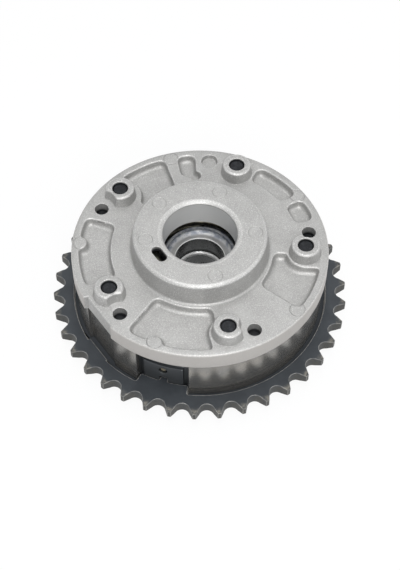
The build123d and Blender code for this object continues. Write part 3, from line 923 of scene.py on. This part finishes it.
def widened(radius, centre):
    """A circle that a step outwards widens."""
    return lambda step: circle(radius + step, hole_sides, centre)


def sink(skin, level, radius, centre, profile):
    """Sinks a blind round hole into the plate."""
    top, floor = skin.lay(widened(radius, centre), profile, rubbed=(0, 1))
    level["plate"].append(top)
    skin.flat(floor)


def lay_boss(skin, level, i):
    """Raises a bolt's boss with the hole through it, and sinks the small hole beside it."""
    centre = np.array(at(bolt_circle_r, bolt_angles[i])[:2])
    hole = None if i == spot_bolt else hole_place(i)
    foot, top = skin.lay(lambda step: boss_outline(step, centre, hole), boss_profile, (6, 7, 8))
    level["plate"].append(foot)
    upper, lower = skin.lay(widened(bolt_hole_r, centre), bolt_mouth, rubbed=(0, 1))
    skin.flat(top, upper)
    level["underside"].append(lower)
    if hole is not None:
        sink(skin, level, small_hole_r, hole, small_hole_profile)


def lay_hub(skin, level):
    """Raises the hub, with the rings that the ejector pins left on it and its slot."""
    root, crown = skin.lay(circle, hub_profile, rubbed=(6, 7, 8))
    level["plate"].append(root)
    level["hub_top"].append(crown)
    for angle in mark_angles:
        centre = at(mark_circle_r, angle)[:2]
        outer, inner = skin.lay(widened(mark_r, centre), mark_groove)
        level["hub_top"].append(outer)
        skin.flat(inner)
    upper, lower = skin.lay(slot_outline, slot_profile, rubbed=(0, 1))
    level["hub_top"].append(upper)
    level["roof"].append(lower)


def lay_bore(skin, level):
    """Lays the bore with its sleeve, and the cavity for the bias spring round that."""
    mouth, sleeve_top = skin.lay(circle, mouth_profile, rubbed=range(6))
    level["hub_top"].append(mouth)
    level["roof"].append(sleeve_top)
    cavity = [skin.ring(cavity_outline(), z) for z in (roof_z, joint_z)]
    upper, lower = skin.strips(cavity)
    level["roof"].append(upper)
    level["underside"].append(lower)


def cover_skin():
    """Lays the whole cover, then fills the ground between the rings of each level."""
    skin = Skin()
    level = {"plate": [], "hub_top": [], "roof": [], "underside": []}
    lay_rim(skin, level)
    lay_pockets(skin, level)
    for i in range(len(bolt_angles)):
        lay_boss(skin, level, i)
    sink(skin, level, spot_r, at(*spot_place)[:2], spot_profile)
    lay_hub(skin, level)
    lay_bore(skin, level)
    for rings in level.values():
        skin.flat(*rings)
    return skin.closed("cast_cover")


def away(axes, place):
    """The distance from a place in the plan."""
    x, y, _ = axes
    return ((x - float(place[0])) ** 2 + (y - float(place[1])) ** 2) ** 0.5


def within(axes, place, reach):
    """1 inside a circle about a place and 0 outside."""
    return 1 - away(axes, place).ramp(reach, reach + 0.1)


def total(signals):
    return sum(signals[1:], signals[0])


def pad_rings(axes):
    """1 on the faint rings that the ejector pins left on the plate."""
    pads = [away(axes, at(circle_r, angle)) for angle, circle_r in pad_places]
    rings = [
        pad.ramp(pad_r - pad_line, pad_r) * (1 - pad.ramp(pad_r, pad_r + pad_line)) for pad in pads
    ]
    return total(rings) * axes[2].ramp(plate_z - 0.2, plate_z - 0.05)


def painted_hole_shade(axes, radius):
    """1 deep in the small holes, the bolts' holes and the slot, which are painted dark as shade."""
    z = axes[2]
    small = [
        within(axes, hole_place(i), small_hole_r)
        for i in range(len(bolt_angles))
        if i != spot_bolt
    ]
    bolted = [within(axes, at(bolt_circle_r, a), bolt_hole_r + 0.1) for a in bolt_angles]
    slot = within(axes, at(slot_r, slot_angle), slot_reach) * radius.ramp(*sleeve_run)
    deep = total(small) * (1 - z.ramp(*small_hole_run))
    deep = deep + total(bolted) * (1 - z.ramp(*bolt_hole_run))
    return deep + slot * (1 - z.ramp(*slot_run))


def cast_aluminium():
    """Sandblasted die casting with a turned bore, painted shade deep in its holes and slot,
    and edges whitened partly as rubbed metal and partly as a painted highlight.
    """
    finish = Finish("sandblasted_casting")
    light, grey, warm = (0.375, 0.372, 0.363), (0.315, 0.312, 0.304), (0.42, 0.40, 0.38)
    pale, dull, hole_shade = (0.72, 0.715, 0.70), (0.22, 0.22, 0.215), (0.030, 0.032, 0.035)
    machined = (0.64, 0.64, 0.63)
    axes = finish.axes()
    radius, z = finish.radius(), axes[2]
    cloud = finish.noise(8.0, 4).ramp(0.3, 0.72)
    speck = finish.noise(0.34, 2, 0.6)
    glint = speck.ramp(0.52, 0.70)
    bore = (1 - radius.ramp(bore_r + 0.06, bore_r + 0.12)) * (1 - z.ramp(*mouth_run))
    rings = pad_rings(axes)
    # Rubbed edges whitened: partly rubbed metal, partly a painted highlight.
    wear_and_highlight = finish.attribute("wear_and_highlight") * (0.2 + 0.7 * glint)
    colour = finish.mix(cloud * 0.6, light, grey)
    colour = finish.mix(glint * 0.55, colour, pale)
    colour = finish.mix((1 - speck.ramp(0.30, 0.46)) * 0.35, colour, dull)
    colour = finish.mix(radius.ramp(*rim_run) * 0.8, colour, warm)
    colour = finish.mix(wear_and_highlight, colour, pale)
    colour = finish.mix(bore, colour, machined)
    colour = finish.mix(rings * 0.35, colour, dull)
    # Painted shade: dark colour deep in the small holes, the bolts' holes and the slot.
    colour = finish.mix(painted_hole_shade(axes, radius), colour, hole_shade)
    wave = finish.bump(finish.noise(3.2, 2), 0.06)
    ringed = finish.bump(1 - rings, 0.16, under=wave)
    blast = finish.bump(speck * (1 - bore), 0.07, under=ringed)
    relief = finish.bump(finish.turning(radius, z) * bore, 0.006, under=blast)
    roughness = 0.40 + 0.08 * cloud - 0.08 * bore
    metallic = 0.5 - 0.1 * bore
    return finish.wire(base_color=colour, roughness=roughness, metallic=metallic, normal=relief)


finished(cover_skin(), cast_aluminium(), "cast_cover", "housing", "front_cover", smooth=38)


# Bolts. Five flanged steel bolts with a black finish, put in from the rear; their ends
# show just below the mouths of the cover's bosses. One bolt is made and set out on the
# bolt circle by geometry nodes, each turned as the wrench happened to leave it.
bolt_sides = 72
across_flats = 8.0
bolt_profile = (
    (2.2, 1.0), (2.4, 0.6), (3.75, 0.6), (None, 1.0), (None, 3.45), (4.75, 3.7), (5.35, 3.75),
    (5.55, 3.95), (5.6, 4.2), (5.6, 4.75), (5.45, 4.9), (3.15, 4.9), (3.0, 5.05), (3.0, 40.4),
    (2.92, 40.65), (2.55, 41.0),
)
bolt_rubbed = (1, 2, 8, 9, 13, 14)
wrench_turn, wrench_seed = 60.0, 4


def bolt_unit():
    """One bolt on the axis; the profile's open radii follow the hexagon."""
    angles = all_round(bolt_sides)
    hexagon = across_flats / 2 / np.cos(np.radians((angles + 30) % 60 - 30))
    skin, rings = Skin(), []
    for radius, z in bolt_profile:
        radii = hexagon if radius is None else np.full(bolt_sides, radius)
        rings.append(skin.ring(polar(radii, angles), z))
    for ring in skin.strips(rings, bolt_rubbed):
        skin.flat(ring)
    return skin.closed("bolt_unit")


def circle_tree():
    """Geometry nodes that set copies of a piece on a circle, each with its own turn."""
    tree = bpy.data.node_groups.new("set_on_circle", "GeometryNodeTree")
    interface = tree.interface
    sockets = (
        ("Piece", "Object"), ("Copies", "Int"), ("Circle Radius", "Float"),
        ("Turn", "Float"), ("Seed", "Int"), ("Material", "Material"),
    )
    interface.new_socket("Geometry", in_out="INPUT", socket_type="NodeSocketGeometry")
    for name, kind in sockets:
        interface.new_socket(name, in_out="INPUT", socket_type="NodeSocket" + kind)
    interface.new_socket("Geometry", in_out="OUTPUT", socket_type="NodeSocketGeometry")
    given = tree.nodes.new("NodeGroupInput").outputs

    def node(kind, links, out=0, **settings):
        made = tree.nodes.new(kind)
        for name, value in settings.items():
            setattr(made, name, value)
        for name, source in links.items():
            if isinstance(source, bpy.types.NodeSocket):
                tree.links.new(source, made.inputs[name])
            else:
                made.inputs[name].default_value = source
        return made.outputs[out]

    ring = {"Vertices": given["Copies"], "Radius": given["Circle Radius"]}
    spots = node("GeometryNodeMeshCircle", ring)
    piece = node("GeometryNodeObjectInfo", {"Object": given["Piece"]}, "Geometry")
    chance = {2: 0.0, 3: given["Turn"], "Seed": given["Seed"]}
    turn = node("FunctionNodeRandomValue", chance, 1)
    about = node("ShaderNodeCombineXYZ", {"Z": turn})
    copies = {"Points": spots, "Instance": piece, "Rotation": about}
    copies = node("GeometryNodeInstanceOnPoints", copies)
    whole = node("GeometryNodeRealizeInstances", {"Geometry": copies})
    whole = node("GeometryNodeSetMaterial", {"Geometry": whole, "Material": given["Material"]})
    tree.links.new(whole, tree.nodes.new("NodeGroupOutput").inputs[0])
    return tree


def set_on_circle(name, unit, tree, values):
    """Runs the nodes on a piece and keeps what they make as a plain mesh."""
    piece = as_object(name, bmesh.new())
    nodes_in = piece.modifiers.new("copies", "NODES")
    nodes_in.node_group = tree
    for item in tree.interface.items_tree:
        if item.in_out == "INPUT" and item.name in values:
            nodes_in[item.identifier] = values[item.name]
    applied(piece)
    bpy.data.objects.remove(unit)
    return piece


def black_steel():
    """Phosphated and oiled steel."""
    finish = Finish("black_oxide_steel", metallic=0.6)
    black, grey, rubbed = (0.008, 0.009, 0.011), (0.024, 0.026, 0.030), (0.10, 0.105, 0.11)
    colour = finish.mix(finish.noise(0.9).ramp(0.4, 0.7), black, grey)
    colour = finish.mix(finish.attribute("wear_and_highlight") * 0.3, colour, rubbed)
    relief = finish.bump(finish.noise(0.5, 3), 0.05)
    return finish.wire(base_color=colour, roughness=0.32 + 0.2 * finish.noise(0.6), normal=relief)


unit, black = bolt_unit(), black_steel()
values = {
    "Piece": unit,
    "Copies": len(bolt_angles),
    "Circle Radius": bolt_circle_r,
    "Turn": radians(wrench_turn),
    "Seed": wrench_seed,
    "Material": black,
}
bolts = set_on_circle("flanged_bolts", unit, circle_tree(), values)
finished(bolts, black, "bolts", "housing", "housing_bolts")


# Camera, floor and light. The photograph looks down on the part from the front; the row
# frame is turned a little against it.
frame_turn = radians(2.9)
elevation = radians(54.65)
camera_roll = radians(0.32)
camera_reach, camera_drop, camera_side = 546.5, 14.76, 0.09
lens_length, sensor_width = 87.66, 36.0
clip_near, clip_far = 0.01, 10
target = Vector((0, 0, plate_z))
floor_half, floor_drop = 4000, 0.05
floor_white = 0.92
daylight, daylight_strength = (0.95, 0.97, 1.0, 1), 0.66


def make_camera():
    """The camera at the photograph's place."""
    turn = Matrix.Rotation(frame_turn, 3, "Z")
    ahead = turn @ Vector((0, cos(elevation), -sin(elevation)))
    up = turn @ Vector((0, sin(elevation), cos(elevation)))
    right = turn @ Vector((1, 0, 0))
    place = target - ahead * camera_reach - up * camera_drop + right * camera_side
    tilt = Matrix.Rotation(-camera_roll, 3, ahead)
    axes = Matrix((tilt @ right, tilt @ up, -ahead)).transposed()
    data = bpy.data.cameras.new("camera")
    data.lens = lens_length
    data.sensor_width = sensor_width
    data.clip_start, data.clip_end = clip_near, clip_far
    camera = bpy.data.objects.new("camera", data)
    camera.matrix_world = Matrix.Translation(place * metre) @ axes.to_4x4()
    bpy.context.scene.collection.objects.link(camera)
    bpy.context.scene.camera = camera


def seen(shading):
    """1 for what the camera, a mirror or a glass sees straight on."""
    path = shading.node("ShaderNodeLightPath").socket.node.outputs
    rays = ("Is Camera Ray", "Is Glossy Ray", "Is Transmission Ray")
    return total([Signal(shading, path[ray]) for ray in rays])


def make_floor():
    """A pale floor that shows white and keeps a soft shadow."""
    bm = bmesh.new()
    bmesh.ops.create_grid(bm, x_segments=1, y_segments=1, size=floor_half)
    floor = as_object("floor", bm)
    floor.data.transform(Matrix.Translation((0, 0, -floor_drop)))
    floor.data.transform(Matrix.Scale(metre, 4))
    finish = Finish("pale_floor", base_color=(0.86, 0.86, 0.86, 1), roughness=0.9)
    plain = Signal(finish, finish.shader.outputs[0])
    white = finish.node("ShaderNodeEmission", inputs={"Strength": 1.0})
    inputs = {0: seen(finish) * floor_white, 1: plain, 2: white}
    finish.show(finish.node("ShaderNodeMixShader", inputs=inputs), "Material Output")
    floor.data.materials.append(finish.material)


def make_world():
    """Plain soft light from all round; the camera and polished metal see it white."""
    world = bpy.data.worlds.new("studio")
    world.use_nodes = True
    bpy.context.scene.world = world
    shading = Shading(world.node_tree)
    plain = world.node_tree.nodes["Background"]
    plain.inputs["Color"].default_value = daylight
    plain.inputs["Strength"].default_value = daylight_strength
    white = shading.node("ShaderNodeBackground", inputs={"Color": (1, 1, 1, 1), "Strength": 1.0})
    inputs = {0: seen(shading), 1: Signal(shading, plain.outputs[0]), 2: white}
    shading.show(shading.node("ShaderNodeMixShader", inputs=inputs), "World Output")


def make_lamp(name, place, size, power):
    """A soft lamp of a width and a length that looks at the part."""
    data = bpy.data.lights.new(name, "AREA")
    data.shape = "RECTANGLE"
    data.size, data.size_y = size
    data.energy = power
    lamp = bpy.data.objects.new(name, data)
    lamp.location = Matrix.Rotation(frame_turn, 3, "Z") @ Vector(place)
    ahead = target * metre - lamp.location
    lamp.rotation_euler = ahead.to_track_quat("-Z", "Y").to_euler()
    bpy.context.scene.collection.objects.link(lamp)


make_camera()
make_floor()
make_world()
make_lamp("overhead", place=(0.0, -0.30, 0.90), size=(0.45, 0.35), power=1.5)
make_lamp("strip", place=(0.0, 0.05, 0.80), size=(0.04, 0.7), power=1.5)
make_lamp("front", place=(0.10, -0.78, 0.66), size=(0.5, 0.45), power=4.2)
make_lamp("right", place=(0.8, -0.2, 0.5), size=(0.4, 0.4), power=0.8)
bpy.context.scene.view_settings.view_transform = "Standard"
